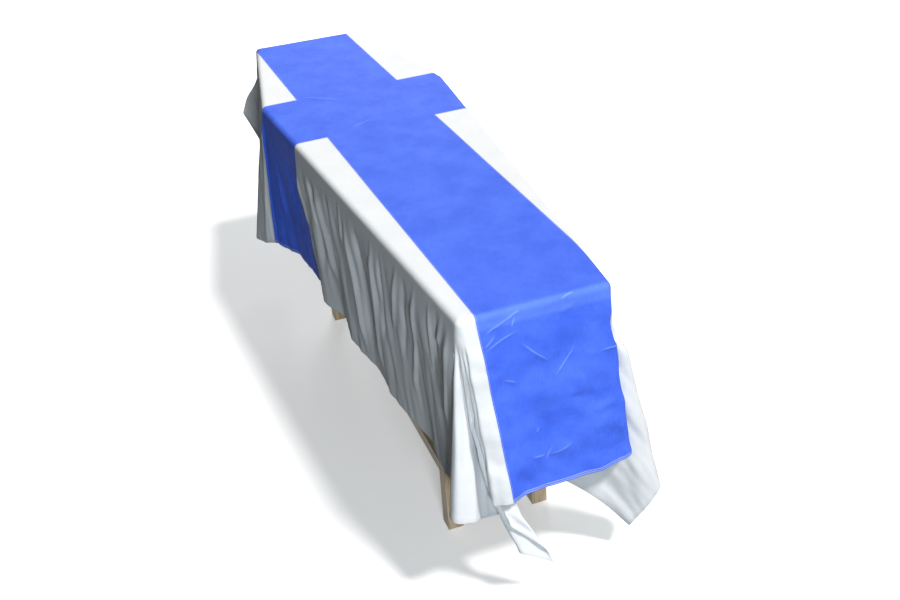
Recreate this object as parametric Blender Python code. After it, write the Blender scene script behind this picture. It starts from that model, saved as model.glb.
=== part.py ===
"""A cloth with a blue cross on white, draped over a plain coffin that stands on a plain bier.

Metres, +Z up. The coffin lies along Y with its foot at -Y and its head at +Y, and the floor is Z = 0.
The cloth is worked out flat first. hang() then takes each flat point to its place on the coffin.
"""

from math import cos, pi, sin

import bmesh
import bpy
import numpy as np
from mathutils import Vector
from mathutils.geometry import delaunay_2d_cdt

# The coffin's plan: half widths, and distances along its middle line.
FOOT_HALF, SHOULDER_HALF, HEAD_HALF = 0.185, 0.302, 0.195
FOOT_Y, SHOULDER_Y, HEAD_Y = -1.020, 0.418, 1.020

# Heights above the floor.
COFFIN_TOP = 0.880
LID_HEIGHT = 0.045
COFFIN_HEIGHT = 0.400
BIER_HEIGHT = 0.4797

# The plain coffin's body stands in from its lid, more so at the bottom.
BODY_IN_AT_TOP, BODY_IN_AT_BOTTOM = 0.018, 0.055
LID_ROUND = 0.016
LID_STEPS = 3
GAP = 0.0003

# The bier: two trestles under the coffin, joined by two rails.
TRESTLE_Y = (-0.70, 0.50)
LEG_SIZE, RAIL_SIZE = 0.045, 0.035
TRESTLE_HALF = 0.150
RAIL_Z = 0.170

# The flat cloth, measured from the middle of its cross: half width of the bars, and the four hems.
BAR_HALF = 0.1725
SIDE_HEM, HEAD_HEM, FOOT_HEM = 0.758, 0.980, -1.797
SHEET = 0.0016
SEAM_GAP = 0.0007

# Where the middle of the cross lies on the coffin, and how far the cloth is turned on it, in radians.
CROSS_X, CROSS_Y, TURN = -0.009, 0.269, 0.029

# How the cloth turns over the coffin's edge: the bend's radius, and where it starts inside the lid's edge.
BEND = 0.015
BEND_STEPS = 3
BEND_IN = 0.012

# This move puts the middle of the whole object's box over the origin.
CENTRE_MOVE = (0.012, -0.001)

# The folds of the six corners. A row is the way that the cloth hangs there: (right, back) for each metre down.
# The rows of a corner follow each other round it, and the cloth's spare width is shared out along them.
CORNER_FOLDS = {
    "foot_left": (
        (-0.03, 0.00), (-0.085, 0.00), (-0.07, -0.045), (-0.005, -0.025), (0.05, 0.03), (0.11, 0.085),
        (0.105, 0.045), (0.06, -0.005), (0.13, 0.00), (0.135, -0.02), (0.09, -0.022), (0.085, -0.042),
        (0.125, -0.042), (0.13, -0.06), (0.08, -0.062), (0.085, -0.085),
    ),
    "foot_right": (
        (0.09, -0.045), (0.13, -0.03), (0.125, 0.00), (0.00, 0.045), (-0.12, 0.055), (-0.20, 0.055),
        (-0.205, 0.08), (-0.10, 0.085), (0.02, 0.07), (0.105, 0.03), (0.16, 0.00), (0.23, 0.00),
        (0.25, 0.05), (0.15, 0.08), (0.05, 0.10),
    ),
    "shoulder_right": ((0.05, -0.02), (0.10, 0.00), (0.10, 0.04), (0.05, 0.06), (0.04, 0.08)),
    "head_right": (
        (0.04, 0.00), (0.17, -0.02), (0.20, 0.04), (0.09, 0.05), (0.08, 0.11), (0.19, 0.14), (0.15, 0.20),
        (0.04, 0.11), (0.03, 0.20), (-0.03, 0.20), (-0.02, 0.07),
    ),
    "head_left": (
        (-0.03, 0.09), (-0.16, 0.12), (-0.36, 0.12), (-0.34, 0.07), (-0.12, 0.06), (0.04, 0.03),
        (0.03, 0.00), (-0.04, 0.01), (-0.09, 0.00),
    ),
    "shoulder_left": ((-0.12, 0.03), (-0.10, 0.00), (-0.06, -0.03), (-0.03, -0.05)),
}

# The depth below the bend, in metres, by which a corner's folds start and are full.
CORNER_DEPTHS = {
    "foot_left": (0.03, 0.16), "foot_right": (0.08, 0.21), "shoulder_right": (0.00, 0.20),
    "head_right": (0.03, 0.18), "head_left": (0.04, 0.20), "shoulder_left": (0.00, 0.20),
}

# The folds along the six sides. A row is (share of the side's length, out, along) for each metre down.
SIDE_FOLDS = {
    "foot": ((0.12, 0.10, 0.075), (0.30, 0.07, 0.05), (0.55, 0.06, 0.02), (0.85, 0.07, 0.05)),
    "right": ((0.15, 0.06, 0.0), (0.30, 0.02, 0.0), (0.45, 0.08, 0.0), (0.60, 0.03, 0.0), (0.80, 0.07, 0.0)),
    "right_head": ((0.40, 0.08, 0.0), (0.70, 0.03, 0.0)),
    "head": ((0.50, 0.08, 0.0),),
    "left_head": ((0.25, 0.06, 0.0), (0.50, 0.10, 0.0), (0.72, 0.15, 0.0), (0.88, 0.18, 0.0)),
    "left": (
        (0.10, -0.05, 0.0), (0.22, -0.06, 0.0), (0.29, 0.00, 0.0), (0.37, -0.05, 0.0), (0.47, -0.01, 0.0),
        (0.57, -0.04, 0.0), (0.68, -0.02, 0.0), (0.80, -0.05, 0.0), (0.92, -0.02, 0.0),
    ),
}
SIDE_DEPTH = 0.22

# The row, counted from 0, at which the cloth's own corner hangs. The spare width is even before it and after it.
TIP_ROWS = {"foot_left": 8, "foot_right": 9}

# The foot_left corner's tail swings on to the right and forward, past this distance from the lid's corner.
TAIL_FROM, TAIL_SWING = 0.25, (0.38, -0.19)

# How finely the hanging cloth is faceted.
SIDE_PITCH, ROW_PITCH = 0.040, 0.085

CORNER_NAMES = list(CORNER_FOLDS)
SIDE_NAMES = list(SIDE_FOLDS)
CURVE_STEPS = 24
CLOTH_TOP = COFFIN_TOP + GAP + SHEET / 2
QUARTER = BEND * pi / 2


def coffin_plan():
    """The lid's outline, one point for each corner in the order of CORNER_FOLDS."""
    return np.array([
        (-FOOT_HALF, FOOT_Y), (FOOT_HALF, FOOT_Y), (SHOULDER_HALF, SHOULDER_Y),
        (HEAD_HALF, HEAD_Y), (-HEAD_HALF, HEAD_Y), (-SHOULDER_HALF, SHOULDER_Y),
    ])


def directions(plan):
    """The unit vectors along each side of a plan and out of it, and the sides' lengths."""
    ahead = np.roll(plan, -1, axis=0) - plan
    length = np.linalg.norm(ahead, axis=1)
    ahead = ahead / length[:, None]
    return ahead, np.column_stack([ahead[:, 1], -ahead[:, 0]]), length


def moved_in(plan, by):
    """The plan with each side moved in."""
    _, out, _ = directions(plan)
    corners = []
    for i in range(len(plan)):
        pair = np.array([out[i - 1], out[i]])
        reach = np.array([out[i - 1] @ plan[i - 1] - by, out[i] @ plan[i] - by])
        corners.append(np.linalg.solve(pair, reach))
    return np.array(corners)


PLAN = coffin_plan()
EDGE = moved_in(PLAN, BEND_IN)
AHEAD, OUT, LENGTH = directions(EDGE)
SWEEP = [float(np.arccos(OUT[i - 1] @ OUT[i])) for i in range(len(EDGE))]


def eased(x):
    """0 to 1 with level ends."""
    x = np.clip(x, 0, 1)
    return x * x * (3 - 2 * x)


def tip_share(i):
    """The share of a foot corner's turn at which the cloth's own corner lies."""
    side = SIDE_HEM if "right" in CORNER_NAMES[i] else -SIDE_HEM
    x = CROSS_X + cos(TURN) * side - sin(TURN) * FOOT_HEM - EDGE[i][0]
    y = CROSS_Y + sin(TURN) * side + cos(TURN) * FOOT_HEM - EDGE[i][1]
    return np.arctan2(np.dot((x, y), AHEAD[i - 1]), np.dot((x, y), OUT[i - 1])) / SWEEP[i]


def corner_curve(i):
    """A corner's hang directions along a smooth curve through its rows, against the share of its turn."""
    rows = np.array(CORNER_FOLDS[CORNER_NAMES[i]])
    rows = np.vstack([rows[0] - 0.1 * AHEAD[i - 1], rows, rows[-1] + 0.1 * AHEAD[i]])
    t = np.linspace(0, 1, CURVE_STEPS, endpoint=False)[:, None]
    pieces = []
    for a, b, c, d in zip(rows, rows[1:], rows[2:], rows[3:]):
        bend = (2 * a - 5 * b + 4 * c - d) * t**2 + (3 * b - a - 3 * c + d) * t**3
        pieces.append(b + 0.5 * ((c - a) * t + bend))
    curve = np.vstack(pieces + [rows[-2:-1]])
    rays = np.column_stack([curve, -np.ones(len(curve))])
    rays /= np.linalg.norm(rays, axis=1)[:, None]
    run = np.concatenate([[0], np.cumsum(np.linalg.norm(np.diff(rays, axis=0), axis=1))])
    share = run / run[-1]
    if CORNER_NAMES[i] in TIP_ROWS:
        at = share[TIP_ROWS[CORNER_NAMES[i]] * CURVE_STEPS]
        share = np.interp(share, (0, at, 1), (0, tip_share(i), 1))
    return share, curve


CURVES = [corner_curve(i) for i in range(len(EDGE))]


def side_direction(i, along):
    """The hang directions at distances along side i."""
    first = np.array(CORNER_FOLDS[CORNER_NAMES[i]][-1])
    last = np.array(CORNER_FOLDS[CORNER_NAMES[(i + 1) % len(EDGE)]][0])
    ends = [(0.0, first @ OUT[i], first @ AHEAD[i]), (1.0, last @ OUT[i], last @ AHEAD[i])]
    at, out, slip = np.array([ends[0], *SIDE_FOLDS[SIDE_NAMES[i]], ends[1]]).T
    share = np.clip(along / LENGTH[i], 0, 1)
    k = np.clip(np.searchsorted(at, share, side="right") - 1, 0, len(at) - 2)
    w = eased((share - at[k]) / (at[k + 1] - at[k]))
    return ((out[k] + (out[k + 1] - out[k]) * w)[:, None] * OUT[i]
            + (slip[k] + (slip[k + 1] - slip[k]) * w)[:, None] * AHEAD[i])


def hung(start, outward, reach, direction, straight, full):
    """Points at a distance past the bend's start: round the bend, then down along their hang direction."""
    turn = np.clip(reach, 0, QUARTER) / BEND
    down = np.clip(reach - QUARTER, 0, None)
    ways = straight + (direction - straight) * full[:, None]
    drop = down / np.sqrt(1 + (ways**2).sum(axis=1))
    place = start + (BEND * np.sin(turn))[:, None] * outward + drop[:, None] * ways
    return np.column_stack([place, CLOTH_TOP - BEND * (1 - np.cos(turn)) - drop])


def hang(flat):
    """The places in space of the cloth's middle, for rows of flat points (across, along)."""
    across, along = np.asarray(flat, float).T
    spread = np.column_stack([
        CROSS_X + cos(TURN) * across - sin(TURN) * along,
        CROSS_Y + sin(TURN) * across + cos(TURN) * along,
    ])
    places = np.column_stack([spread, np.full(len(spread), CLOTH_TOP)])
    away = spread[:, None, :] - EDGE[None]
    run = np.einsum("nij,ij->ni", away, AHEAD)
    past = np.einsum("nij,ij->ni", away, OUT)
    for i in range(len(EDGE)):
        on = (past[:, i] > 0) & (run[:, i] >= 0) & (run[:, i] <= LENGTH[i])
        if on.any():
            first = np.array(CORNER_FOLDS[CORNER_NAMES[i]][-1])
            last = np.array(CORNER_FOLDS[CORNER_NAMES[(i + 1) % len(EDGE)]][0])
            here, reach = run[on, i], past[on, i]
            straight = first + (last - first) * eased(here / LENGTH[i])[:, None]
            start = EDGE[i] + here[:, None] * AHEAD[i]
            full = eased((reach - QUARTER) / SIDE_DEPTH)
            places[on] = hung(start, OUT[i], reach, side_direction(i, here), straight, full)
        on = (run[:, i] < 0) & (run[:, i - 1] > LENGTH[i - 1])
        if on.any():
            reach = np.linalg.norm(away[on, i], axis=1)
            outward = away[on, i] / reach[:, None]
            share = np.arctan2(outward @ AHEAD[i - 1], outward @ OUT[i - 1]) / SWEEP[i]
            shares, curve = CURVES[i]
            way = np.column_stack([np.interp(share, shares, curve[:, k]) for k in (0, 1)])
            straight = curve[0] + (curve[-1] - curve[0]) * eased(share)[:, None]
            start, end = CORNER_DEPTHS[CORNER_NAMES[i]]
            full = eased((reach - QUARTER - start) / (end - start))
            places[on] = hung(EDGE[i], outward, reach, way, straight, full)
            if i == 0:
                swing = np.sin(pi * share) ** 2 * np.clip(reach - TAIL_FROM, 0, None) ** 2
                places[on, :2] += swing[:, None] * TAIL_SWING
    return places + np.array([*CENTRE_MOVE, 0.0])


def normals(places, faces):
    """A normal at each point: the mean of the faces round it, each by its angle there."""
    faces = np.array(faces)
    found = np.zeros_like(places)
    for k in range(3):
        here = places[faces[:, k]]
        one, other = places[faces[:, (k + 1) % 3]] - here, places[faces[:, (k + 2) % 3]] - here
        one /= np.linalg.norm(one, axis=1)[:, None]
        other /= np.linalg.norm(other, axis=1)[:, None]
        across = np.cross(one, other)
        across /= np.linalg.norm(across, axis=1)[:, None]
        angle = np.arccos(np.clip((one * other).sum(axis=1), -1, 1))
        np.add.at(found, faces[:, k], across * angle[:, None])
    return found / np.linalg.norm(found, axis=1)[:, None]


def to_flat(spread):
    """Flat cloth points under points of the coffin's plane."""
    x, y = (np.asarray(spread, float) - (CROSS_X, CROSS_Y)).T
    return np.column_stack([cos(TURN) * x + sin(TURN) * y, -sin(TURN) * x + cos(TURN) * y])


def to_hem(start, way):
    """How far it is from a flat point to the hem, going a given way."""
    reaches = []
    for k, (low, high) in enumerate(((-SIDE_HEM, SIDE_HEM), (FOOT_HEM, HEAD_HEM))):
        if abs(way[k]) > 1e-9:
            reaches.append(((high if way[k] > 0 else low) - start[k]) / way[k])
    return min(reaches)


def columns():
    """The lines down the hanging cloth, as (flat start, flat direction): fanned at each corner, even on each side."""
    found = []
    for i in range(len(EDGE)):
        for share in CURVES[i][0][:: CURVE_STEPS // 2][:-1]:
            turn = SWEEP[i] * share
            way = cos(turn) * OUT[i - 1] + sin(turn) * AHEAD[i - 1]
            found.append((EDGE[i], way))
        steps = max(2, round(LENGTH[i] / SIDE_PITCH))
        for step in range(steps):
            found.append((EDGE[i] + LENGTH[i] * step / steps * AHEAD[i], OUT[i]))
    lines = []
    for start, way in found:
        a, b = to_flat([start, start + way])
        lines.append((a, b - a))
    corner = np.array([[side * SIDE_HEM, end] for side in (-1, 1) for end in (FOOT_HEM, HEAD_HEM)])
    for point in corner:
        starts = to_flat(EDGE)
        nearest = starts[np.argmin(np.linalg.norm(starts - point, axis=1))]
        lines.append((nearest, (point - nearest) / np.linalg.norm(point - nearest)))
    return lines


def rows_down(reach):
    """The distances of a column's points from the bend's start: round the bend, then evenly down to the hem."""
    bend = [QUARTER * k / BEND_STEPS for k in range(BEND_STEPS + 1)]
    first = QUARTER + LID_HEIGHT
    count = max(2, round((reach - first) / ROW_PITCH))
    return bend + [first + (reach - first) * k / count for k in range(count + 1)]


def seam_lines():
    """The four seams as flat lines from hem to hem."""
    return [
        ((-BAR_HALF, FOOT_HEM), (-BAR_HALF, HEAD_HEM)), ((BAR_HALF, FOOT_HEM), (BAR_HALF, HEAD_HEM)),
        ((-SIDE_HEM, -BAR_HALF), (SIDE_HEM, -BAR_HALF)), ((-SIDE_HEM, BAR_HALF), (SIDE_HEM, BAR_HALF)),
    ]


def flat_mesh():
    """The whole cloth in flat triangles, which share their corners along the seams and the bend."""
    points, edges = [], []

    def add(point):
        points.append(Vector(point))
        return len(points) - 1

    def near_seam(point, within):
        return min(abs(abs(point[0]) - BAR_HALF), abs(abs(point[1]) - BAR_HALF)) < within

    rings = [[] for _ in range(BEND_STEPS + 1)]
    for start, way in columns():
        reach = to_hem(start, way)
        for k, distance in enumerate(rows_down(reach)):
            point = start + way * distance
            if k <= BEND_STEPS and not near_seam(point, 0.005):
                rings[k].append(point)
            elif k > BEND_STEPS and not near_seam(point, 0.012):
                add(point)
    middle = to_flat([(0.0, 0.0)])[0]
    for ring in rings:
        ring.sort(key=lambda p: np.arctan2(*(p - middle)))
        ids = [add(p) for p in ring]
        edges += [(a, b) for a, b in zip(ids, ids[1:] + ids[:1]) if points[a] != points[b]]
    for a, b in seam_lines():
        a, b = np.array(a), np.array(b)
        count = round(np.linalg.norm(b - a) / ROW_PITCH)
        ids = [add(a + (b - a) * k / count) for k in range(count + 1)]
        edges += list(zip(ids, ids[1:]))
    hem = [(-SIDE_HEM, FOOT_HEM), (SIDE_HEM, FOOT_HEM), (SIDE_HEM, HEAD_HEM), (-SIDE_HEM, HEAD_HEM)]
    ids = [add(p) for p in hem]
    edges += list(zip(ids, ids[1:] + ids[:1]))
    made = delaunay_2d_cdt(points, edges, [], 1, 0.002)
    return np.array(made[0]), [tuple(face) for face in made[2]]


def panel_of(across, along):
    """The name of the panel that holds a flat point."""
    if abs(across) < BAR_HALF:
        return "long_bar"
    side = "right" if across > 0 else "left"
    if abs(along) < BAR_HALF:
        return side + "_arm"
    return ("head" if along > 0 else "foot") + "_field_" + side


def seamed(flat):
    """The places of one panel's points, with those on a seam drawn in by half of the seam's gap."""
    drawn = flat.copy()
    for axis in (0, 1):
        middle = (flat[:, axis].max() + flat[:, axis].min()) / 2
        for line in (-BAR_HALF, BAR_HALF):
            on = np.abs(flat[:, axis] - line) < 1e-5
            drawn[on, axis] += SEAM_GAP / 2 if middle > line else -SEAM_GAP / 2
    places = hang(flat)
    move = hang(drawn) - places
    length = np.linalg.norm(move, axis=1)
    wanted = np.linalg.norm(drawn - flat, axis=1)
    on = length > 0
    places[on] += move[on] * (wanted[on] / length[on])[:, None]
    return places


def sheet_mesh(name, middle, normal, faces):
    """A closed mesh: the cloth's outer face, its inner face, and the rim between them."""
    outer = [tuple(p) for p in middle + normal * SHEET / 2]
    inner = [tuple(p) for p in middle - normal * SHEET / 2]
    count = len(middle)
    ends = {(a, b) for face in faces for a, b in zip(face, face[1:] + face[:1])}
    rim = [(b, a, a + count, b + count) for a, b in sorted(ends) if (b, a) not in ends]
    below = [tuple(v + count for v in reversed(face)) for face in faces]
    mesh = bpy.data.meshes.new(name)
    mesh.from_pydata(outer + inner, [], faces + below + rim)
    return mesh


def material(name, colour, roughness, metallic=0.0):
    made = bpy.data.materials.new(name)
    made.use_nodes = True
    shader = made.node_tree.nodes["Principled BSDF"]
    shader.inputs["Base Color"].default_value = (*colour, 1.0)
    shader.inputs["Roughness"].default_value = roughness
    shader.inputs["Metallic"].default_value = metallic
    return made


def show(name, mesh, finish):
    made = bpy.data.objects.new(name, mesh)
    bpy.context.scene.collection.objects.link(made)
    mesh.materials.append(finish)
    return made


def build_cloth(blue, white):
    flat, faces = flat_mesh()
    normal = normals(hang(flat), faces)
    panels = {}
    for face in faces:
        panels.setdefault(panel_of(*flat[list(face)].mean(axis=0)), []).append(face)
    for name, own in sorted(panels.items()):
        used = sorted({v for face in own for v in face})
        place = {v: k for k, v in enumerate(used)}
        own = [tuple(place[v] for v in face) for face in own]
        mesh = sheet_mesh(name, seamed(flat[used]), normal[used], own)
        show(name, mesh, blue if "bar" in name or "arm" in name else white)


def prism(name, bottom, top, low, high, finish, round_edge=0.0):
    """A straight or tapered solid between two plans."""
    shape = bmesh.new()
    rings = []
    for plan, height in ((bottom, low), (top, high)):
        rings.append([shape.verts.new((x + CENTRE_MOVE[0], y + CENTRE_MOVE[1], height)) for x, y in plan])
    shape.faces.new(list(reversed(rings[0])))
    shape.faces.new(rings[1])
    for k in range(len(bottom)):
        j = (k + 1) % len(bottom)
        shape.faces.new((rings[0][k], rings[0][j], rings[1][j], rings[1][k]))
    if round_edge:
        lowest = min(v.co.z for v in shape.verts)
        edges = [e for e in shape.edges if max(v.co.z for v in e.verts) > lowest + GAP]
        bmesh.ops.bevel(shape, geom=edges, offset=round_edge, segments=LID_STEPS, profile=0.5, affect="EDGES")
    mesh = bpy.data.meshes.new(name)
    shape.to_mesh(mesh)
    shape.free()
    return show(name, mesh, finish)


def box_plan(x, y, half_x, half_y):
    return [(x - half_x, y - half_y), (x + half_x, y - half_y), (x + half_x, y + half_y), (x - half_x, y + half_y)]


def build_coffin(wood):
    """A plain six-sided box with a flat lid."""
    bottom = COFFIN_TOP - COFFIN_HEIGHT
    joint = COFFIN_TOP - LID_HEIGHT
    prism("coffin_lid", PLAN, PLAN, joint + GAP / 2, COFFIN_TOP, wood, LID_ROUND)
    prism("coffin_body", moved_in(PLAN, BODY_IN_AT_BOTTOM), moved_in(PLAN, BODY_IN_AT_TOP),
          bottom, joint - GAP / 2, wood)


def build_bier(wood):
    """Two trestles, each a beam on two legs, and two rails between them."""
    beam_low = BIER_HEIGHT - LEG_SIZE
    half = LEG_SIZE / 2
    for end, y in zip(("foot", "head"), TRESTLE_Y):
        prism(f"bier_beam_{end}", box_plan(0, y, TRESTLE_HALF, half), box_plan(0, y, TRESTLE_HALF, half),
              beam_low, BIER_HEIGHT, wood)
        for side, x in (("left", -1), ("right", 1)):
            plan = box_plan(x * (TRESTLE_HALF - half), y, half, half)
            prism(f"bier_leg_{end}_{side}", plan, plan, 0.0, beam_low - GAP, wood)
    low, high = TRESTLE_Y[0] + half + GAP, TRESTLE_Y[1] - half - GAP
    for side, x in (("left", -1), ("right", 1)):
        plan = box_plan(x * (TRESTLE_HALF - half), (low + high) / 2, RAIL_SIZE / 2, (high - low) / 2)
        prism(f"bier_rail_{side}", plan, plan, RAIL_Z, RAIL_Z + RAIL_SIZE, wood)


def main():
    for old in list(bpy.data.objects):
        bpy.data.objects.remove(old)
    blue = material("blue_cloth", (0.06, 0.13, 0.75), 0.85)
    white = material("white_cloth", (0.86, 0.87, 0.89), 0.85)
    wood = material("pale_wood", (0.56, 0.43, 0.29), 0.55)
    build_coffin(wood)
    build_bier(wood)
    build_cloth(blue, white)


main()
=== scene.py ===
# %% [markdown]
# # A coffin drape, panel by panel
#
# The real thing is a sewn cloth, a blue cross on white, laid over a coffin. It lies flat on the lid,
# bends over the lid's edge, hangs straight along the sides and falls into pleats at the corners.
#
# A drape like this could come from cloth simulation. Here each flat point of the cloth is instead taken
# to its place by a short function, because that keeps every pleat where the photo shows it, and runs in
# seconds.

from collections import namedtuple
from math import cos, pi, radians, sin

import bpy
import numpy as np
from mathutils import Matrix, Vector


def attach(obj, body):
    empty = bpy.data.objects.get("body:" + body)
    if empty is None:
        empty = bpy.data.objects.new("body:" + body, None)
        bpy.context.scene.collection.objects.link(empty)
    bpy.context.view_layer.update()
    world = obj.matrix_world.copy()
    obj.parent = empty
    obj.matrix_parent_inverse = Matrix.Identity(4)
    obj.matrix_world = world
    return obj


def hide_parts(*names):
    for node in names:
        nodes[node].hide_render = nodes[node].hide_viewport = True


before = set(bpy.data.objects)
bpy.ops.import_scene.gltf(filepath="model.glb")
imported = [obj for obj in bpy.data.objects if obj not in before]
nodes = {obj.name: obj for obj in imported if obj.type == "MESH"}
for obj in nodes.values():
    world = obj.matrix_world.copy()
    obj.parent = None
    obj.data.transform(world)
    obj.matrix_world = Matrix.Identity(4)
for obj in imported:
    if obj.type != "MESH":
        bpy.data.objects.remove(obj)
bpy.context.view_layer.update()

# %% [markdown]
# ## The camera
#
# The camera comes first, so that each later step can be looked at from the photo's own place. It was
# found by matching the lid's edges and the seams in the photo, and it stands left of the foot, well above
# the lid.

# %% Camera
CAMERA_PLACE = (-0.812, -2.911, 2.166)
CAMERA_TURN = (58.289, 3.491, -20.495)
CAMERA_LENS = 44.0

camera_data = bpy.data.cameras.new("camera")
camera_data.lens = CAMERA_LENS
camera_data.sensor_width = 36
camera = bpy.data.objects.new("camera", camera_data)
camera.location = CAMERA_PLACE
camera.rotation_euler = [radians(turn) for turn in CAMERA_TURN]
bpy.context.scene.collection.objects.link(camera)
bpy.context.scene.camera = camera
print("camera", CAMERA_PLACE, CAMERA_LENS, "mm")

# %% [markdown]
# ## The sizes of the coffin and the cloth
#
# The cloth is described flat, as it was cut: across and along from the middle of its cross. The coffin's
# lid has six sides. Both use the same numbers as the solid model, so that the fine cloth lies where the
# solid one does.

# %% Sizes
FOOT_HALF, SHOULDER_HALF, HEAD_HALF = 0.185, 0.302, 0.195
FOOT_Y, SHOULDER_Y, HEAD_Y = -1.020, 0.418, 1.020
COFFIN_TOP = 0.880
BAR_HALF = 0.1725
SIDE_HEM, HEAD_HEM, FOOT_HEM = 0.758, 0.980, -1.797
SHEET, GAP = 0.0016, 0.0003
CROSS_X, CROSS_Y, TURN = -0.009, 0.269, 0.029
BEND, BEND_IN = 0.015, 0.012
CENTRE_MOVE = (0.012, -0.001)
CLOTH_TOP = COFFIN_TOP + GAP + SHEET / 2
QUARTER = BEND * pi / 2
print("flat cloth", 2 * SIDE_HEM, "x", HEAD_HEM - FOOT_HEM, "m")

# %% [markdown]
# ## The folds
#
# A corner at the foot or the head leaves about a quarter circle of spare cloth below it, which gathers into
# pleats. Each row here is the way that the cloth hangs at one point round the corner: how far right and
# back it goes for each metre down. Read in order, the rows draw the zigzag of the pleats as seen from above.
# The depths say how far below the lid the pleats begin and where they are full. A row for a side gives its
# share of the side, then how far out and how far ahead the cloth goes for each metre down.
#
# At the foot the cloth's own corner hangs at a numbered row, and the near-left tail swings out to the right
# below there.

# %% Fold tables
CORNER_FOLDS = {
    "foot_left": (
        (-0.03, 0.00), (-0.085, 0.00), (-0.07, -0.045), (-0.005, -0.025), (0.05, 0.03), (0.11, 0.085),
        (0.105, 0.045), (0.06, -0.005), (0.13, 0.00), (0.135, -0.02), (0.09, -0.022), (0.085, -0.042),
        (0.125, -0.042), (0.13, -0.06), (0.08, -0.062), (0.085, -0.085),
    ),
    "foot_right": (
        (0.09, -0.045), (0.13, -0.03), (0.125, 0.00), (0.00, 0.045), (-0.12, 0.055), (-0.20, 0.055),
        (-0.205, 0.08), (-0.10, 0.085), (0.02, 0.07), (0.105, 0.03), (0.16, 0.00), (0.23, 0.00),
        (0.25, 0.05), (0.15, 0.08), (0.05, 0.10),
    ),
    "shoulder_right": ((0.05, -0.02), (0.10, 0.00), (0.10, 0.04), (0.05, 0.06), (0.04, 0.08)),
    "head_right": (
        (0.04, 0.00), (0.17, -0.02), (0.20, 0.04), (0.09, 0.05), (0.08, 0.11), (0.19, 0.14), (0.15, 0.20),
        (0.04, 0.11), (0.03, 0.20), (-0.03, 0.20), (-0.02, 0.07),
    ),
    "head_left": (
        (-0.03, 0.09), (-0.16, 0.12), (-0.36, 0.12), (-0.34, 0.07), (-0.12, 0.06), (0.04, 0.03),
        (0.03, 0.00), (-0.04, 0.01), (-0.09, 0.00),
    ),
    "shoulder_left": ((-0.12, 0.03), (-0.10, 0.00), (-0.06, -0.03), (-0.03, -0.05)),
}
CORNER_DEPTHS = {
    "foot_left": (0.03, 0.16), "foot_right": (0.08, 0.21), "shoulder_right": (0.00, 0.20),
    "head_right": (0.03, 0.18), "head_left": (0.04, 0.20), "shoulder_left": (0.00, 0.20),
}
SIDE_FOLDS = {
    "foot": ((0.12, 0.10, 0.075), (0.30, 0.07, 0.05), (0.55, 0.06, 0.02), (0.85, 0.07, 0.05)),
    "right": ((0.15, 0.06, 0.0), (0.30, 0.02, 0.0), (0.45, 0.08, 0.0), (0.60, 0.03, 0.0), (0.80, 0.07, 0.0)),
    "right_head": ((0.40, 0.08, 0.0), (0.70, 0.03, 0.0)),
    "head": ((0.50, 0.08, 0.0),),
    "left_head": ((0.25, 0.06, 0.0), (0.50, 0.10, 0.0), (0.72, 0.15, 0.0), (0.88, 0.18, 0.0)),
    "left": (
        (0.10, -0.05, 0.0), (0.22, -0.06, 0.0), (0.29, 0.00, 0.0), (0.37, -0.05, 0.0), (0.47, -0.01, 0.0),
        (0.57, -0.04, 0.0), (0.68, -0.02, 0.0), (0.80, -0.05, 0.0), (0.92, -0.02, 0.0),
    ),
}
SIDE_DEPTH = 0.22
TIP_ROWS = {"foot_left": 8, "foot_right": 9}
TAIL_FROM, TAIL_SWING = 0.25, (0.38, -0.19)
CORNER_NAMES, SIDE_NAMES = list(CORNER_FOLDS), list(SIDE_FOLDS)
CURVE_STEPS = 24
print(sum(map(len, CORNER_FOLDS.values())), "rows for the corners")
print(sum(map(len, SIDE_FOLDS.values())), "rows for the sides")

# %% [markdown]
# ## From flat to hanging
#
# A point past the lid's edge first goes round a bend of 15 mm radius, then straight down its hang
# direction. Along a side the direction eases from row to row. Round a corner it follows a smooth curve
# through the rows, measured by its length so that the spare cloth is shared out evenly.


# %% The lid's outline
def directions(plan):
    """The unit vectors along each side of a plan and out of it, and the sides' lengths."""
    ahead = np.roll(plan, -1, axis=0) - plan
    length = np.linalg.norm(ahead, axis=1)
    ahead = ahead / length[:, None]
    return ahead, np.column_stack([ahead[:, 1], -ahead[:, 0]]), length


def moved_in(plan, by):
    """The plan with each side moved in."""
    _, out, _ = directions(plan)
    corners = []
    for i in range(len(plan)):
        pair = np.array([out[i - 1], out[i]])
        reach = np.array([out[i - 1] @ plan[i - 1] - by, out[i] @ plan[i] - by])
        corners.append(np.linalg.solve(pair, reach))
    return np.array(corners)


PLAN = np.array([
    (-FOOT_HALF, FOOT_Y), (FOOT_HALF, FOOT_Y), (SHOULDER_HALF, SHOULDER_Y),
    (HEAD_HALF, HEAD_Y), (-HEAD_HALF, HEAD_Y), (-SHOULDER_HALF, SHOULDER_Y),
])
EDGE = moved_in(PLAN, BEND_IN)
AHEAD, OUT, LENGTH = directions(EDGE)
SWEEP = [float(np.arccos(OUT[i - 1] @ OUT[i])) for i in range(len(EDGE))]
print("the cloth turns", [round(s, 2) for s in SWEEP], "radians at the six corners")


# %% Hang directions
def eased(x):
    """0 to 1 with level ends."""
    x = np.clip(x, 0, 1)
    return x * x * (3 - 2 * x)


def tip_share(i):
    """The share of a foot corner's turn at which the cloth's own corner lies."""
    side = SIDE_HEM if "right" in CORNER_NAMES[i] else -SIDE_HEM
    x = CROSS_X + cos(TURN) * side - sin(TURN) * FOOT_HEM - EDGE[i][0]
    y = CROSS_Y + sin(TURN) * side + cos(TURN) * FOOT_HEM - EDGE[i][1]
    return np.arctan2(np.dot((x, y), AHEAD[i - 1]), np.dot((x, y), OUT[i - 1])) / SWEEP[i]


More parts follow.
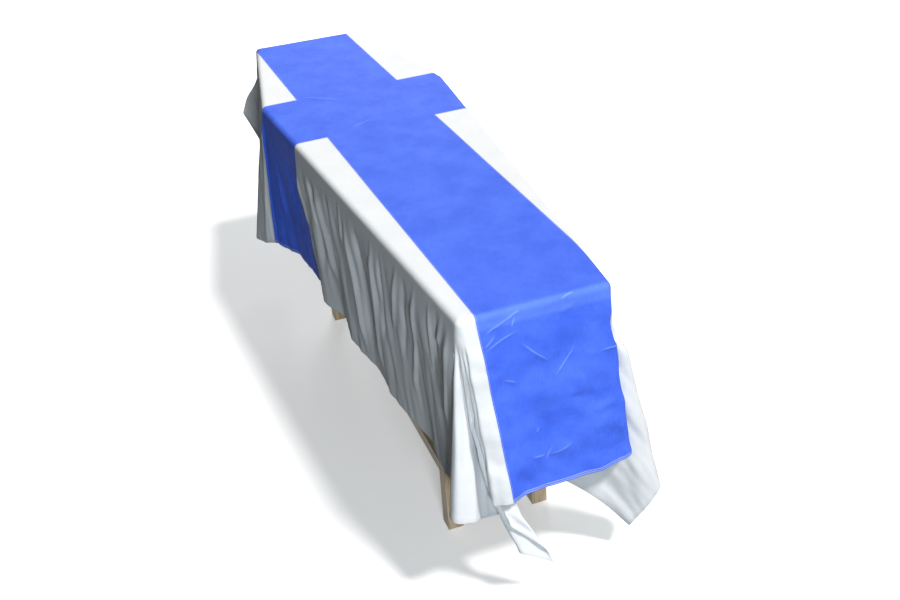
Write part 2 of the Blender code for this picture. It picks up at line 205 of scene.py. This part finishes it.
def corner_curve(i):
    """A corner's hang directions along a smooth curve through its rows, against the share of its turn."""
    rows = np.array(CORNER_FOLDS[CORNER_NAMES[i]])
    rows = np.vstack([rows[0] - 0.1 * AHEAD[i - 1], rows, rows[-1] + 0.1 * AHEAD[i]])
    t = np.linspace(0, 1, CURVE_STEPS, endpoint=False)[:, None]
    pieces = []
    for a, b, c, d in zip(rows, rows[1:], rows[2:], rows[3:]):
        bend = (2 * a - 5 * b + 4 * c - d) * t**2 + (3 * b - a - 3 * c + d) * t**3
        pieces.append(b + 0.5 * ((c - a) * t + bend))
    curve = np.vstack(pieces + [rows[-2:-1]])
    rays = np.column_stack([curve, -np.ones(len(curve))])
    rays /= np.linalg.norm(rays, axis=1)[:, None]
    run = np.concatenate([[0], np.cumsum(np.linalg.norm(np.diff(rays, axis=0), axis=1))])
    share = run / run[-1]
    if CORNER_NAMES[i] in TIP_ROWS:
        at = share[TIP_ROWS[CORNER_NAMES[i]] * CURVE_STEPS]
        share = np.interp(share, (0, at, 1), (0, tip_share(i), 1))
    return share, curve


def side_direction(i, along):
    """The hang directions at distances along side i."""
    first = np.array(CORNER_FOLDS[CORNER_NAMES[i]][-1])
    last = np.array(CORNER_FOLDS[CORNER_NAMES[(i + 1) % len(EDGE)]][0])
    ends = [(0.0, first @ OUT[i], first @ AHEAD[i]), (1.0, last @ OUT[i], last @ AHEAD[i])]
    at, out, slip = np.array([ends[0], *SIDE_FOLDS[SIDE_NAMES[i]], ends[1]]).T
    share = np.clip(along / LENGTH[i], 0, 1)
    k = np.clip(np.searchsorted(at, share, side="right") - 1, 0, len(at) - 2)
    w = eased((share - at[k]) / (at[k + 1] - at[k]))
    return ((out[k] + (out[k + 1] - out[k]) * w)[:, None] * OUT[i]
            + (slip[k] + (slip[k + 1] - slip[k]) * w)[:, None] * AHEAD[i])


CURVES = [corner_curve(i) for i in range(len(EDGE))]
print("corner curves of", [len(curve) for _, curve in CURVES], "points")


# %% Hang the cloth
def hung(start, outward, reach, direction, straight, full):
    """Points at a distance past the bend's start: round the bend, then down along their hang direction."""
    turn = np.clip(reach, 0, QUARTER) / BEND
    down = np.clip(reach - QUARTER, 0, None)
    ways = straight + (direction - straight) * full[:, None]
    drop = down / np.sqrt(1 + (ways**2).sum(axis=1))
    place = start + (BEND * np.sin(turn))[:, None] * outward + drop[:, None] * ways
    return np.column_stack([place, CLOTH_TOP - BEND * (1 - np.cos(turn)) - drop])


def hang(flat):
    """The places in space of the cloth's middle, for rows of flat points (across, along)."""
    across, along = np.asarray(flat, float).T
    spread = np.column_stack([
        CROSS_X + cos(TURN) * across - sin(TURN) * along,
        CROSS_Y + sin(TURN) * across + cos(TURN) * along,
    ])
    places = np.column_stack([spread, np.full(len(spread), CLOTH_TOP)])
    away = spread[:, None, :] - EDGE[None]
    run = np.einsum("nij,ij->ni", away, AHEAD)
    past = np.einsum("nij,ij->ni", away, OUT)
    for i in range(len(EDGE)):
        on = (past[:, i] > 0) & (run[:, i] >= 0) & (run[:, i] <= LENGTH[i])
        if on.any():
            first = np.array(CORNER_FOLDS[CORNER_NAMES[i]][-1])
            last = np.array(CORNER_FOLDS[CORNER_NAMES[(i + 1) % len(EDGE)]][0])
            here, reach = run[on, i], past[on, i]
            straight = first + (last - first) * eased(here / LENGTH[i])[:, None]
            start = EDGE[i] + here[:, None] * AHEAD[i]
            full = eased((reach - QUARTER) / SIDE_DEPTH)
            places[on] = hung(start, OUT[i], reach, side_direction(i, here), straight, full)
        on = (run[:, i] < 0) & (run[:, i - 1] > LENGTH[i - 1])
        if on.any():
            reach = np.linalg.norm(away[on, i], axis=1)
            outward = away[on, i] / reach[:, None]
            share = np.arctan2(outward @ AHEAD[i - 1], outward @ OUT[i - 1]) / SWEEP[i]
            shares, curve = CURVES[i]
            way = np.column_stack([np.interp(share, shares, curve[:, k]) for k in (0, 1)])
            straight = curve[0] + (curve[-1] - curve[0]) * eased(share)[:, None]
            start, end = CORNER_DEPTHS[CORNER_NAMES[i]]
            full = eased((reach - QUARTER - start) / (end - start))
            places[on] = hung(EDGE[i], outward, reach, way, straight, full)
            if i == 0:
                swing = np.sin(pi * share) ** 2 * np.clip(reach - TAIL_FROM, 0, None) ** 2
                places[on, :2] += swing[:, None] * TAIL_SWING
    return places + np.array([*CENTRE_MOVE, 0.0])


foot_tips = hang([(-SIDE_HEM, FOOT_HEM), (SIDE_HEM, FOOT_HEM)])
print("lowest point of the cloth:", foot_tips[:, 2].min().round(3), "m")

# %% [markdown]
# ## Creases and soft waves
#
# A folded cloth keeps the lines it was folded on, and hanging cloth ripples. The photo shows both: sharp
# light lines on the blue end panel, and soft upright folds down the shaded side. Each row below is one of
# them, given in metres as a line on the flat cloth, with how far it bows, its width and its height. A
# height below zero is a trough.

# %% Table of creases
Crease = namedtuple("Crease", "across along to_across to_along bow width height")
END_CREASES = [
    Crease(-0.170, -1.377, -0.078, -1.341, 0.004, 0.0050, 0.0016),
    Crease(-0.082, -1.369, -0.006, -1.449, -0.004, 0.0050, 0.0018),
    Crease(-0.134, -1.457, -0.098, -1.477, 0.000, 0.0050, 0.0014),
    Crease(-0.094, -1.693, -0.042, -1.701, 0.002, 0.0050, 0.0015),
    Crease(-0.042, -1.701, 0.030, -1.685, -0.004, 0.0050, 0.0015),
    Crease(-0.106, -1.309, -0.066, -1.293, 0.002, 0.0050, 0.0012),
    Crease(0.030, -1.297, 0.070, -1.289, 0.003, 0.0050, 0.0012),
    Crease(-0.134, -1.337, -0.170, -1.365, 0.002, 0.0050, 0.0014),
    Crease(-0.138, -1.325, -0.082, -1.301, 0.003, 0.0045, 0.0011),
    Crease(-0.158, -1.333, -0.118, -1.313, 0.002, 0.0045, 0.0010),
    Crease(-0.094, -1.333, -0.082, -1.305, 0.001, 0.0045, 0.0010),
    Crease(0.054, -1.417, -0.006, -1.493, 0.003, 0.0050, 0.0018),
    Crease(-0.046, -1.721, -0.022, -1.677, 0.003, 0.0045, 0.0012),
    Crease(0.058, -1.517, 0.058, -1.573, 0.003, 0.0060, 0.0020),
    Crease(0.078, -1.649, 0.086, -1.721, 0.003, 0.0060, 0.0020),
    Crease(0.018, -1.329, 0.082, -1.305, -0.004, 0.0060, 0.0018),
    Crease(-0.010, -1.301, 0.026, -1.297, 0.003, 0.0060, 0.0014),
    Crease(0.118, -1.745, 0.142, -1.673, 0.002, 0.0060, 0.0022),
    Crease(-0.066, -1.629, -0.054, -1.617, 0.000, 0.0045, 0.0010),
    Crease(0.106, -1.457, 0.166, -1.461, 0.002, 0.0055, 0.0022),
    Crease(0.070, -1.461, 0.114, -1.465, 0.004, 0.0090, 0.0016),
    Crease(0.054, -1.497, 0.038, -1.565, 0.006, 0.0140, 0.0040),
    Crease(0.075, -1.612, 0.128, -1.604, -0.006, 0.0110, 0.0034),
    Crease(-0.174, -1.413, -0.150, -1.445, 0.004, 0.0110, -0.0024),
    Crease(0.066, -1.525, 0.082, -1.737, 0.010, 0.0150, -0.0033),
    Crease(-0.138, -1.509, -0.134, -1.745, 0.006, 0.0200, 0.0045),
    Crease(-0.030, -1.549, -0.042, -1.749, -0.006, 0.0180, -0.0039),
    Crease(0.130, -1.500, 0.145, -1.760, -0.008, 0.0140, 0.0051),
]
TOP_CREASES = [
    Crease(-0.090, -0.145, -0.006, -0.105, 0.004, 0.0055, 0.0010),
    Crease(-0.162, 0.191, -0.046, 0.095, 0.006, 0.0055, 0.0011),
    Crease(0.146, -0.201, 0.138, -0.529, 0.020, 0.0120, 0.0011),
    Crease(0.060, -0.160, 0.110, -0.420, -0.030, 0.0120, 0.0008),
    Crease(-0.080, 0.420, 0.100, 0.460, 0.010, 0.0100, 0.0007),
    Crease(-0.120, -0.900, 0.100, -0.960, 0.012, 0.0120, 0.0007),
]
SIDE_RIPPLES = [
    Crease(-0.314, -0.253, -0.500, -0.300, 0.006, 0.0110, 0.0067),
    Crease(-0.310, -0.335, -0.640, -0.392, 0.010, 0.0200, 0.0130),
    Crease(-0.300, -0.285, -0.640, -0.330, 0.008, 0.0240, -0.0110),
    Crease(-0.300, -0.430, -0.600, -0.470, -0.008, 0.0160, -0.0075),
    Crease(-0.254, -0.533, -0.418, -0.537, 0.006, 0.0090, 0.0053),
    Crease(-0.290, -0.573, -0.740, -0.625, 0.008, 0.0150, 0.0105),
    Crease(-0.260, -0.660, -0.700, -0.690, -0.008, 0.0190, -0.0090),
    Crease(-0.246, -0.777, -0.740, -0.733, 0.006, 0.0130, 0.0090),
    Crease(-0.250, -0.830, -0.600, -0.800, 0.004, 0.0100, -0.0053),
    Crease(-0.238, -0.949, -0.502, -0.865, 0.006, 0.0090, 0.0060),
    Crease(-0.234, -1.000, -0.560, -0.930, -0.006, 0.0130, -0.0060),
    Crease(-0.234, -1.053, -0.640, -0.965, 0.008, 0.0090, 0.0067),
    Crease(-0.226, -1.137, -0.460, -1.125, 0.004, 0.0090, 0.0053),
    Crease(-0.226, -1.175, -0.420, -1.155, 0.004, 0.0090, -0.0045),
    Crease(-0.226, -1.205, -0.342, -1.177, 0.004, 0.0090, 0.0045),
    Crease(-0.226, -1.241, -0.600, -1.197, 0.006, 0.0120, 0.0075),
    Crease(-0.330, 0.080, -0.640, 0.060, 0.006, 0.0120, 0.0060),
    Crease(-0.340, -0.040, -0.640, -0.060, 0.006, 0.0150, -0.0067),
    Crease(-0.330, -0.150, -0.560, -0.190, 0.006, 0.0100, 0.0067),
    Crease(0.300, -0.300, 0.640, -0.290, 0.006, 0.0150, 0.0075),
    Crease(0.270, -0.620, 0.640, -0.600, 0.006, 0.0130, 0.0067),
    Crease(0.250, -0.900, 0.640, -0.870, -0.006, 0.0150, 0.0075),
    Crease(0.330, 0.020, 0.660, 0.030, 0.006, 0.0120, 0.0060),
    Crease(0.260, 0.520, 0.600, 0.540, 0.006, 0.0140, 0.0067),
    Crease(-0.300, 0.480, -0.620, 0.500, 0.006, 0.0140, 0.0067),
]
print(len(END_CREASES), "on the end,", len(TOP_CREASES), "on top,", len(SIDE_RIPPLES), "on the sides")


# %% [markdown]
# A crease is a soft ridge: full height on its line, nothing a few widths away, and fading at both ends.
# Besides the creases the cloth has slow waves, 15 cm long where it hangs, longer and much lower on the lid,
# which catch the light like real cloth. On the long sides they are drawn out downwards, because the hanging
# cloth pulls them straight, and fine upright ripples run between them.


# %% Relief of the cloth
WAVE_SIZE, WAVE_HEIGHT, RIPPLE_HEIGHT, TOP_WAVE_HEIGHT = 0.15, 0.0030, 0.0016, 0.0003
WAVES, FINER, FAINTER = 5, 1.7, 0.6
RIPPLE_LENGTHS = (0.034, 0.043, 0.057, 0.071, 0.092)


def ridge(flat, crease):
    """One crease's height over the flat points."""
    start = np.array([crease.across, crease.along])
    way = np.array([crease.to_across, crease.to_along]) - start
    length = np.linalg.norm(way)
    way /= length
    run = (flat - start) @ way / length
    off = (flat - start) @ np.array([-way[1], way[0]]) - crease.bow * 4 * run * (1 - run)
    fade = eased(run / 0.25) * eased((1 - run) / 0.25)
    return crease.height * fade * np.exp(-((off / crease.width) ** 2))


def waves(flat, size, seed, octaves=3):
    """Slow random waves of about one height, from a few sums of sines that run in seeded directions."""
    source = np.random.default_rng(seed)
    total = np.zeros(len(flat))
    for octave in range(octaves):
        for _ in range(WAVES):
            angle, phase = source.uniform(0, 2 * pi, 2)
            way = np.array([cos(angle), sin(angle)]) * 2 * pi / (size / FINER**octave)
            total += np.sin(flat @ way + phase) * FAINTER**octave
    return total / WAVES


def rippling(flat):
    """Fine upright ripples on the long sides: quick along the coffin, slow down the cloth."""
    source = np.random.default_rng(23)
    across, along = flat.T
    total = np.zeros(len(flat))
    for length in RIPPLE_LENGTHS:
        phase, drift, lean = source.uniform(0, 2 * pi, 3)
        total += np.sin(2 * pi * (along + 0.04 * lean * np.abs(across)) / length + phase
                        + 0.9 * np.sin(across * 11 + drift)) * (length / 0.07)
    return total / 3 * eased((np.abs(across) - 0.24) / 0.12)


def hanging_share(flat):
    """How far each flat point hangs below the lid's edge, from 0 on the lid to 1 well down."""
    return eased((CLOTH_TOP - hang(flat)[:, 2]) / 0.12)


def relief(flat):
    """How far the cloth stands off its smooth shape."""
    hanging = hanging_share(flat)
    height = sum(ridge(flat, crease) for crease in END_CREASES + TOP_CREASES)
    height = height + hanging * sum(ridge(flat, crease) for crease in SIDE_RIPPLES)
    side = eased((np.abs(flat[:, 0]) - 0.20) / 0.15)
    drawn = side * waves(flat * (0.25, 1), WAVE_SIZE, 7) + (1 - side) * 1.25 * waves(flat, WAVE_SIZE, 7)
    height += hanging * (WAVE_HEIGHT * (0.5 + drawn) + RIPPLE_HEIGHT * rippling(flat))
    return height + (1 - hanging) * TOP_WAVE_HEIGHT * (1 + waves(flat, 2 * WAVE_SIZE, 11, 2))


sample = np.array([(-0.124, -1.359), (0.0, 0.0), (-0.5, -0.6)])
print("relief on an end crease, on top and on the side, mm:", (1000 * relief(sample)).round(2))

# %% [markdown]
# ## The seven panels
#
# A maker cuts the cross and the four fields apart and sews them with flat seams. So each panel is its own
# piece here, a fine grid that ends exactly on its seams. The cloth is 0.7 mm thick and nearly double that
# in two bands: 16 mm wide at the hems, and 5 mm wide on each side of a seam, where the edges are turned
# in and stitched.

# %% Panel table
PITCH = 0.005
CLOTH, DOUBLED = 0.0007, 0.0006
HEM_BAND, SEAM_BAND, ROUND = 0.016, 0.005, 0.0015
EXTRA_LINES = np.array([0.0008, 0.0022])
Panel = namedtuple("Panel", "name low_across high_across low_along high_along colour")
PANELS = [
    Panel("long_bar", -BAR_HALF, BAR_HALF, FOOT_HEM, HEAD_HEM, "blue_cloth"),
    Panel("left_arm", -SIDE_HEM, -BAR_HALF, -BAR_HALF, BAR_HALF, "blue_cloth"),
    Panel("right_arm", BAR_HALF, SIDE_HEM, -BAR_HALF, BAR_HALF, "blue_cloth"),
    Panel("foot_field_left", -SIDE_HEM, -BAR_HALF, FOOT_HEM, -BAR_HALF, "white_cloth"),
    Panel("foot_field_right", BAR_HALF, SIDE_HEM, FOOT_HEM, -BAR_HALF, "white_cloth"),
    Panel("head_field_left", -SIDE_HEM, -BAR_HALF, BAR_HALF, HEAD_HEM, "white_cloth"),
    Panel("head_field_right", BAR_HALF, SIDE_HEM, BAR_HALF, HEAD_HEM, "white_cloth"),
]
for panel in PANELS:
    size = panel.high_across - panel.low_across, panel.high_along - panel.low_along
    print(f"{panel.name}: {size[0]:.3f} x {size[1]:.3f} m, {panel.colour}")


# %% Grid of one panel
def spaced(low, high):
    """Even steps, with extra lines close to both ends for the rounded hem or seam."""
    count = round((high - low) / PITCH)
    even = np.linspace(low, high, count + 1)
    return np.sort(np.concatenate([even, low + EXTRA_LINES, high - EXTRA_LINES]))


def hem_distance(flat):
    return np.min([SIDE_HEM - np.abs(flat[:, 0]), HEAD_HEM - flat[:, 1], flat[:, 1] - FOOT_HEM], axis=0)


def seam_distance(flat):
    """How far it is to the nearest seam of blue to white. The lines stop at the corners of the crossing."""
    across, along = np.abs(flat[:, 0]), np.abs(flat[:, 1])
    long_seam = np.abs(across - BAR_HALF) + np.clip(BAR_HALF - along, 0, None)
    cross_seam = np.abs(along - BAR_HALF) + np.clip(BAR_HALF - across, 0, None)
    return np.minimum(long_seam, cross_seam)


def half_thickness(flat):
    """Half the cloth's thickness: more in the doubled bands, and rounded off at the hem's edge."""
    hem, seam = hem_distance(flat), seam_distance(flat)
    in_hem = eased((HEM_BAND + ROUND - hem) / (2 * ROUND))
    in_seam = eased((SEAM_BAND + ROUND - seam) / (2 * ROUND))
    inside = np.maximum(in_hem, in_seam)
    rounded = np.sqrt(np.clip(1 - (1 - np.clip(hem / ROUND, 0, 1)) ** 2, 0.04, 1))
    return (CLOTH + DOUBLED * inside) / 2 * rounded


def surface(flat):
    """The cloth's middle with its relief, and its normals, by small steps in the flat cloth."""
    def raised(points):
        step = 0.0008
        across = hang(points + (step, 0)) - hang(points - (step, 0))
        along = hang(points + (0, step)) - hang(points - (0, step))
        normal = np.cross(across, along)
        normal /= np.linalg.norm(normal, axis=1)[:, None]
        return hang(points) + normal * relief(points)[:, None]

    middle = raised(flat)
    step = 0.0012
    across = raised(flat + (step, 0)) - raised(flat - (step, 0))
    along = raised(flat + (0, step)) - raised(flat - (0, step))
    normal = np.cross(across, along)
    return middle, normal / np.linalg.norm(normal, axis=1)[:, None]


print("steps along the long bar:", len(spaced(FOOT_HEM, HEAD_HEM)))


# %% Build the panels
def panel_mesh(panel):
    """A closed thin mesh: an outer and an inner grid, joined round the edge. Its UVs are flat metres."""
    across = spaced(panel.low_across, panel.high_across)
    along = spaced(panel.low_along, panel.high_along)
    wide, long = len(across), len(along)
    flat = np.stack(np.meshgrid(across, along, indexing="ij"), axis=-1).reshape(-1, 2)
    middle, normal = surface(flat)
    half = half_thickness(flat)[:, None]
    points = np.vstack([middle + normal * half, middle - normal * half])
    index = np.arange(wide * long).reshape(wide, long)
    corners = [index[:-1, :-1], index[1:, :-1], index[1:, 1:], index[:-1, 1:]]
    outer = np.stack([c.ravel() for c in corners], axis=1)
    inner = outer[:, ::-1] + wide * long
    edge = np.concatenate([index[:, 0], index[-1, 1:], index[-2::-1, -1], index[0, -2::-1]])
    rim = np.stack([edge[1:], edge[:-1], edge[:-1] + wide * long, edge[1:] + wide * long], axis=1)
    faces = np.vstack([outer, inner, rim])
    mesh = bpy.data.meshes.new(panel.name + "_cloth")
    mesh.from_pydata(points.tolist(), [], faces.tolist())
    layer = mesh.uv_layers.new(name="flat")
    loops = np.array([loop.vertex_index for loop in mesh.loops]) % (wide * long)
    layer.data.foreach_set("uv", flat[loops].ravel())
    mesh.polygons.foreach_set("use_smooth", np.ones(len(mesh.polygons), bool))
    return mesh


pieces = {}
for panel in PANELS:
    piece = bpy.data.objects.new(panel.name + "_cloth", panel_mesh(panel))
    bpy.context.scene.collection.objects.link(piece)
    pieces[panel.name] = piece
    print(piece.name, len(piece.data.polygons), "faces")

# %% [markdown]
# ## Materials in a few words
#
# The weave, the stitches and the wood are all worked out from numbers inside the shader. A small class
# wraps a shader socket, so that the sums can be written as plain Python sums, and each operator adds one
# Math node.


# %% A socket that does sums
class Field:
    """A number that varies over the surface, written with ordinary operators."""

    def __init__(self, tree, socket):
        self.tree, self.socket = tree, socket

    def node(self, kind, links=(), **settings):
        made = self.tree.nodes.new("ShaderNode" + kind)
        for name, value in settings.items():
            setattr(made, name, value)
        for name, value in dict(links).items():
            if isinstance(value, Field):
                self.tree.links.new(value.socket, made.inputs[name])
            else:
                made.inputs[name].default_value = value
        return made

    def math(self, operation, *others):
        links = {k: other for k, other in enumerate([self, *others])}
        return Field(self.tree, self.node("Math", links, operation=operation).outputs[0])

    def __add__(self, other):
        return self.math("ADD", other)

    def __sub__(self, other):
        return self.math("SUBTRACT", other)

    def __mul__(self, other):
        return self.math("MULTIPLY", other)

    def __rsub__(self, other):
        return self * -1 + other

    def sine(self):
        return self.math("SINE")

    def size(self):
        return self.math("ABSOLUTE")

    def least(self, other):
        return self.math("MINIMUM", other)

    def most(self, other):
        return self.math("MAXIMUM", other)

    def between(self, low, high):
        """0 below low, 1 above high, eased between."""
        made = self.node("MapRange", {"Value": self, "From Min": low, "From Max": high},
                         interpolation_type="SMOOTHSTEP")
        return Field(self.tree, made.outputs["Result"])

    def band(self, centre, width):
        """1 on a line at a value, fading to 0 half a width away."""
        return 1 - (self - centre).size().between(width * 0.3, width * 0.6)


def new_material(name):
    """A material with its shader, and a start field from which nodes are made."""
    made = bpy.data.materials.new(name)
    made.use_nodes = True
    shader = made.node_tree.nodes["Principled BSDF"]
    return made, shader, Field(made.node_tree, None)


def stretched(start, vector, by):
    """A place on the surface, drawn out so that a noise on it turns into threads or grain."""
    made = start.node("VectorMath", {0: vector, 1: by}, operation="MULTIPLY")
    return Field(start.tree, made.outputs[0])


def noise(start, vector, scale, detail=2.0, roughness=0.5):
    links = {"Vector": vector, "Scale": scale, "Detail": detail, "Roughness": roughness}
    made = start.node("TexNoise", links)
    return Field(start.tree, made.outputs["Fac"])


def mixed(start, amount, one, other):
    """One colour turned into another by a field."""
    made = start.node("Mix", data_type="RGBA")
    start.tree.links.new(amount.socket, made.inputs[0])
    for socket, colour in ((made.inputs[6], one), (made.inputs[7], other)):
        if isinstance(colour, Field):
            start.tree.links.new(colour.socket, socket)
        else:
            socket.default_value = (*colour, 1.0)
    return Field(start.tree, made.outputs[2])


def bumped(start, shader, height, distance):
    made = start.node("Bump", {"Height": height, "Distance": distance, "Strength": 1.0})
    start.tree.links.new(made.outputs["Normal"], shader.inputs["Normal"])


print("the shader helpers are ready")

# %% [markdown]
# ## Woven cloth
#
# The cloth is a plain polyester weave, as used for flags. Its threads are about half a millimetre apart,
# with a few thicker ones. Two rows of stitches run round the hem, and one on each side of every seam of
# blue to white. The sharp creases and the bend at the foot get a painted highlight: a little paler blue.
# All of it is drawn on the flat cloth's own coordinates, so that the weave turns with every fold.

# %% Cloth material
THREAD = 0.00055
SHARP = 0.006
FOOT_BEND, FOOT_BEND_BAND = -1.303, 0.045
CREASE_LINE = 0.0042
STITCH = 0.0035
HEM_STITCHES, HEM_LINE = (0.0040, 0.0095), 0.0028
SEAM_STITCHES, SEAM_LINE = 0.0028, 0.0009


def crease_line(across, along, crease):
    """1 on a crease's sharp line, with both ends faded out."""
    run_across, run_along = crease.to_across - crease.across, crease.to_along - crease.along
    length = (run_across**2 + run_along**2) ** 0.5
    right, back = across - crease.across, along - crease.along
    run = right * (run_across / length**2) + back * (run_along / length**2)
    off = back * (run_across / length) - right * (run_along / length)
    off = off - run * (1 - run) * (4 * crease.bow)
    return off.band(0.0, CREASE_LINE) * run.between(0.0, 0.35) * (1 - run).between(0.0, 0.35)


def cloth_material(name, colour, deep, thread, roughness, sheen, highlight_colour=None, creases=()):
    """Woven cloth. The creases and the bend at the foot get a painted highlight, mixed towards the paler
    colour.
    """
    made, shader, start = new_material(name)
    flat = Field(start.tree, start.node("UVMap", uv_map="flat").outputs["UV"])
    split = start.node("SeparateXYZ", {"Vector": flat})
    across, along = (Field(start.tree, split.outputs[k]) for k in (0, 1))
    weave = (across * (2 * pi / THREAD)).sine() * (along * (2 * pi / THREAD)).sine()
    slubs = noise(start, stretched(start, flat, (900.0, 40.0, 1.0)), 1.0, 1.0)
    picks = noise(start, stretched(start, flat, (40.0, 900.0, 1.0)), 1.0, 1.0)
    clouds = noise(start, flat, 9.0, 4.0, 0.6)
    crumple = noise(start, flat, 45.0, 4.0, 0.6)
    hem = (SIDE_HEM - across.size()).least(HEAD_HEM - along).least(along - FOOT_HEM)
    past_across, past_along = across.size() - BAR_HALF, along.size() - BAR_HALF
    long_seam = past_across.size() + (past_along * -1).most(0.0)
    seam = long_seam.least(past_along.size() + (past_across * -1).most(0.0))
    lines = hem.band(HEM_STITCHES[0], HEM_LINE) + hem.band(HEM_STITCHES[1], HEM_LINE)
    lines = lines + seam.band(SEAM_STITCHES, SEAM_LINE)
    dashes = ((across + along) * (2 * pi / STITCH)).sine().between(-0.35, 0.1)
    stitches = (lines * dashes).least(1.0)
    groove = lines.least(1.0)
    shade = (clouds * 0.5 + slubs * 0.25 + picks * 0.25).between(0.35, 0.65)
    base = mixed(start, shade, deep, colour)
    if creases:
        # Painted highlight: the sharp crease lines are mixed towards a paler blue, as if they caught the
        # light.
        crease_highlight = sum([crease_line(across, along, crease) for crease in creases[1:]],
                   crease_line(across, along, creases[0])).least(1.0)
        # Painted highlight: a paler band along the bend at the foot, where the cloth turns over the lid's
        # edge and catches the light.
        bend_highlight = (along + across * sin(TURN)).band(FOOT_BEND, FOOT_BEND_BAND)
        base = mixed(start, crease_highlight * 0.40 + bend_highlight * 0.18, base, highlight_colour)
    base = mixed(start, stitches, base, thread)
    start.tree.links.new(base.socket, shader.inputs["Base Color"])
    rough = crumple * 0.10 + (roughness - 0.05)
    start.tree.links.new(rough.socket, shader.inputs["Roughness"])
    height = weave * 0.10 + slubs * 0.25 + picks * 0.25 + crumple * 1.6 - groove * 0.9 + stitches * 1.6
    bumped(start, shader, height, 0.0004)
    shader.inputs["Sheen Weight"].default_value = sheen
    shader.inputs["Sheen Roughness"].default_value = 0.4
    shader.inputs["Specular IOR Level"].default_value = 0.15
    return made


cloth_materials = {
    "blue_cloth": cloth_material("blue_cloth_woven", (0.088, 0.190, 0.93), (0.052, 0.132, 0.77),
                                 (0.62, 0.70, 0.97), 0.72, 0.02, (0.27, 0.45, 1.0),
                                 [c for c in END_CREASES + TOP_CREASES if c.width < SHARP]),
    "white_cloth": cloth_material("white_cloth_woven", (0.86, 0.865, 0.88), (0.80, 0.81, 0.83),
                                  (0.93, 0.93, 0.95), 0.78, 0.04),
}
for panel in PANELS:
    pieces[panel.name].data.materials.append(cloth_materials[panel.colour])
print("cloth threads", THREAD * 1000, "mm apart, stitches", STITCH * 1000, "mm long")

# %% [markdown]
# ## Plain pine
#
# The coffin and the bier under it are only carriers, so they are plain planed pine. Wood grain is a set
# of long soft stripes: noise stretched along the board, with darker late wood where it crosses a
# threshold.


# %% Wood material
def wood_material(name, along_y):
    made, shader, start = new_material(name)
    place = Field(start.tree, start.node("TexCoord").outputs["Object"])
    board = stretched(start, place, (26.0, 1.6, 26.0) if along_y else (26.0, 26.0, 1.6))
    rings = noise(start, board, 1.0, 3.0, 0.55)
    lines = (rings * 46.0).sine() * 0.5 + 0.5
    pores = noise(start, board, 9.0, 2.0)
    colour = mixed(start, lines.between(0.45, 1.0), (0.74, 0.56, 0.36), (0.58, 0.39, 0.22))
    colour = mixed(start, pores.between(0.55, 0.75) * 0.4, colour, (0.46, 0.30, 0.17))
    start.tree.links.new(colour.socket, shader.inputs["Base Color"])
    rough = lines * 0.10 + 0.42
    start.tree.links.new(rough.socket, shader.inputs["Roughness"])
    bumped(start, shader, lines * 0.4 + pores * 0.6, 0.0003)
    shader.inputs["Coat Weight"].default_value = 0.15
    return made


long_wood, upright_wood = wood_material("pine_along", True), wood_material("pine_upright", False)
for name, node in nodes.items():
    if name.startswith(("coffin", "bier")):
        wood = upright_wood if "leg" in name else long_wood
        for slot in node.material_slots:
            slot.material = wood
print("wood on", [name for name in nodes if name.startswith(("coffin", "bier"))])

# %% [markdown]
# ## Each panel in place of its solid
#
# Each fine panel stands for one solid of the part and rides on the same body, and that solid is hidden.

for panel in PANELS:
    piece = pieces[panel.name]
    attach(piece, "root")
    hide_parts(panel.name)
print(len(pieces), "sheets declared")

# %% [markdown]
# ## The studio
#
# In the photo the light comes from the front and a little from the right, high up: the top and the foot
# end are bright and the left side is in shade. A large far lamp does the same here, over a pale floor
# that runs to the horizon. A weak lamp at the front left grazes the shaded side, so that its folds show,
# and another one behind keeps the head end readable. The floor lights no cloth and glows a little, so its
# shadow stays pale. The backdrop looks pale too, but lights little.

# %% Floor and light
def lamp(name, kind, place, aim, size, power, colour):
    data = bpy.data.lights.new(name, kind)
    data.energy, data.color = power, colour
    if kind == "SUN":
        data.angle = size
    else:
        data.size = size
    made = bpy.data.objects.new(name, data)
    made.location = place
    made.rotation_euler = (Vector(aim) - Vector(place)).to_track_quat("-Z", "Y").to_euler()
    bpy.context.scene.collection.objects.link(made)


FLOOR = 150.0
floor_mesh = bpy.data.meshes.new("floor")
floor_corners = [(-FLOOR, -FLOOR, 0), (FLOOR, -FLOOR, 0), (FLOOR, FLOOR, 0), (-FLOOR, FLOOR, 0)]
floor_mesh.from_pydata(floor_corners, [], [(0, 1, 2, 3)])
floor = bpy.data.objects.new("floor", floor_mesh)
bpy.context.scene.collection.objects.link(floor)
floor_material, floor_shader, _ = new_material("pale_floor")
floor_shader.inputs["Base Color"].default_value = (0.80, 0.80, 0.80, 1)
floor_shader.inputs["Roughness"].default_value = 0.9
floor_shader.inputs["Emission Color"].default_value = (1, 1, 1, 1)
floor_shader.inputs["Emission Strength"].default_value = 0.40
floor_mesh.materials.append(floor_material)
floor.visible_diffuse = False

lamp("key", "SUN", (1.35, -2.6, 5.3), (0, 0, 0.6), radians(7), 3.25, (1.0, 0.99, 0.97))
lamp("back", "AREA", (1.6, 5.0, 3.0), (0, 0, 0.6), 2.0, 120, (0.95, 0.98, 1.0))
lamp("fill", "AREA", (-0.95, -5.3, 2.2), (0, 0, 0.5), 0.8, 140, (0.84, 0.94, 1.0))
world = bpy.data.worlds.new("studio")
bpy.context.scene.world = world
world.use_nodes = True
world.node_tree.nodes["Background"].inputs["Color"].default_value = (0.84, 0.95, 1.0, 1)
seen = world.node_tree.nodes.new("ShaderNodeLightPath").outputs["Is Camera Ray"]
pale = Field(world.node_tree, seen) * 0.80 + 0.05
world.node_tree.links.new(pale.socket, world.node_tree.nodes["Background"].inputs["Strength"])
bpy.context.scene.view_settings.view_transform = "Standard"
